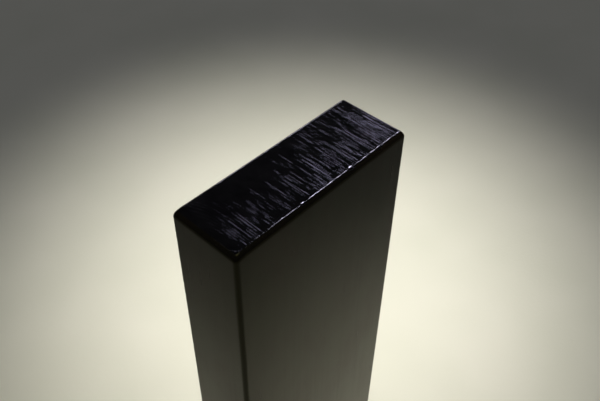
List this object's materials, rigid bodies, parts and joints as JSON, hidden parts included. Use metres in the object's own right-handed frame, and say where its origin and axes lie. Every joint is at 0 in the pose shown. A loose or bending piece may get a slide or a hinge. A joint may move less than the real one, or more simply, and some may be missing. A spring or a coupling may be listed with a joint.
{
  "type": "ink stick",
  "caption": "Plain rectangular ink stick, a moulded bar of soot and glue with a polished dark skin on its sides, ground flat and bare on its upper end.",
  "frame": {"origin": "middle of the butt face that the stick stands on, under the middle of its box", "axes": "+Z along the stick from the butt face to the ground end, +X along the width of the broad faces, +Y through the thickness from one broad face to the other"},
  "size_m": [0.044, 0.0158, 0.14],
  "materials": {
    "bare_ink": "satin",
    "polished_ink": "gloss"
  },
  "bodies": {
    "root": {"ink_body": "bare_ink", "polished_skin": "polished_ink"}
  },
  "joints": []
}
